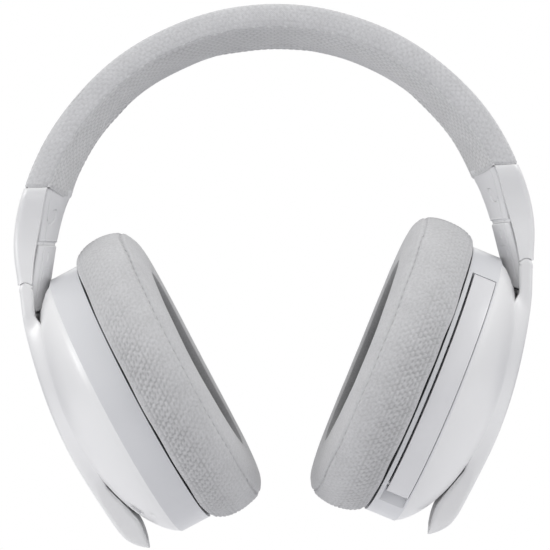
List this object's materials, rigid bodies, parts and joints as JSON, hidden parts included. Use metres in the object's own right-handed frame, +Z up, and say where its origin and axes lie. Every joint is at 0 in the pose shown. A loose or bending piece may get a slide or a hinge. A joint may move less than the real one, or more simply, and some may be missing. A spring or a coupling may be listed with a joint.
{
  "type": "over-ear gaming headset",
  "caption": "Over-ear headset: padded fabric arch, telescoping arms, tilting oval ear cups with soft cushions, and a microphone boom stowed flush in a cup.",
  "frame": {"origin": "the lowest point of the crown pad's underside, at the middle of the arch, where the headset rests on a head or stand", "axes": "+Z up, +X to the wearer's left, +Y to the wearer's back; the front faces -Y"},
  "size_m": [0.1776, 0.0884, 0.1827],
  "materials": {
    "white_shell": "satin gloss moulded plastic, soft highlights",
    "white_band": "satin moulded plastic",
    "grey_cover": "fine matt moulded plastic",
    "inlay": "fine matt moulded plastic",
    "arch_fabric": "fine light grey weave",
    "pad_fabric": "grey knitted fabric with a small embossed cell pattern",
    "cushion_fabric": "light grey knitted fabric, embossed sides, smooth face",
    "driver_cloth": "darker grey acoustic cloth",
    "inner_plastic": "plain black moulding",
    "steel": "bright zinc-plated or ground steel",
    "magnet": "nickel-plated",
    "film": "thin translucent polymer film",
    "lead": "soft matt jacket",
    "board": "solder mask over glass fibre",
    "cell": "plain foil pouch",
    "button": "fine matt moulded plastic",
    "socket_metal": "plated steel",
    "mic_shell": "satin moulded plastic"
  },
  "bodies": {
    "headband": {"headband_cover": "arch_fabric", "headband_core": "inner_plastic", "headband_spring_band": "steel", "crown_pad": "pad_fabric", "headband_lead": "lead", "band_rivets": "steel", "end_cover_screws": "steel", "end_cover_plugs": "grey_cover", "detent_springs": "steel", "left_end_shell": "white_shell", "right_end_shell": "white_shell", "left_end_cover": "grey_cover", "right_end_cover": "grey_cover", "left_slider_guide": "inner_plastic", "right_slider_guide": "inner_plastic"},
    "left_arm": {"left_slider_bar": "steel", "left_slider_cover": "grey_cover"},
    "right_arm": {"right_slider_bar": "steel", "right_slider_cover": "grey_cover"},
    "left_cup": {"left_blade": "white_shell", "left_blade_inlay": "inlay", "left_hinge_pin": "steel", "left_driver_frame": "inner_plastic", "left_driver_magnet": "magnet", "left_diaphragm": "film", "left_cushion_ring": "inner_plastic", "left_driver_cloth": "driver_cloth", "left_ear_cushion": "cushion_fabric", "left_cup_screws": "steel", "left_band": "white_band", "left_dome": "white_shell", "left_baffle": "inner_plastic", "mic_pivot_pin": "steel", "volume_encoder": "inner_plastic", "usb_socket": "socket_metal", "jack_socket": "inner_plastic", "main_board": "board"},
    "right_cup": {"right_blade": "white_shell", "right_blade_inlay": "inlay", "right_hinge_pin": "steel", "right_driver_frame": "inner_plastic", "right_driver_magnet": "magnet", "right_diaphragm": "film", "right_cushion_ring": "inner_plastic", "right_driver_cloth": "driver_cloth", "right_ear_cushion": "cushion_fabric", "right_cup_screws": "steel", "right_band": "white_band", "right_dome": "white_shell", "right_baffle": "inner_plastic", "battery": "cell"},
    "mic": {"mic_boom": "mic_shell", "mic_capsule": "button"},
    "wheel": {"volume_wheel": "button"},
    "mute": {"mute_button": "button"},
    "power": {"power_button": "button"},
    "mode": {"mode_button": "button"}
  },
  "joints": [
    {"name": "left_slide", "type": "slide", "parent": "headband", "child": "left_arm", "axis": [0.1961, 0, -0.9806], "range_m": [0, 0.02]},
    {"name": "left_tilt", "type": "hinge", "parent": "left_arm", "child": "left_cup", "pos_m": [0.0847, 0, -0.079], "axis": [0, -1, 0], "range_deg": [-2, 18]},
    {"name": "right_slide", "type": "slide", "parent": "headband", "child": "right_arm", "axis": [-0.1961, 0, -0.9806], "range_m": [0, 0.02]},
    {"name": "right_tilt", "type": "hinge", "parent": "right_arm", "child": "right_cup", "pos_m": [-0.0847, 0, -0.079], "axis": [0, 1, 0], "range_deg": [-2, 18]},
    {"name": "mic_swing", "type": "hinge", "parent": "left_cup", "child": "mic", "pos_m": [0.0376, -0.0231, -0.1497], "axis": [0.9054, 0, -0.4245], "range_deg": [0, 115]},
    {"name": "volume_turn", "type": "hinge", "parent": "left_cup", "child": "wheel", "pos_m": [0.05546, 0.034, -0.1122], "axis": [0.9054, 0, -0.4245], "continuous": true},
    {"name": "mute_press", "type": "slide", "parent": "left_cup", "child": "mute", "axis": [0.1027, -0.9703, 0.219], "range_m": [0, 0.0006], "stiffness_N_per_m": 900},
    {"name": "power_press", "type": "slide", "parent": "right_cup", "child": "power", "axis": [0.0296, -0.9976, -0.0632], "range_m": [0, 0.0006], "stiffness_N_per_m": 900},
    {"name": "mode_press", "type": "slide", "parent": "right_cup", "child": "mode", "axis": [0.5781, 0.3249, 0.7485], "range_m": [0, 0.0004], "stiffness_N_per_m": 900}
  ]
}
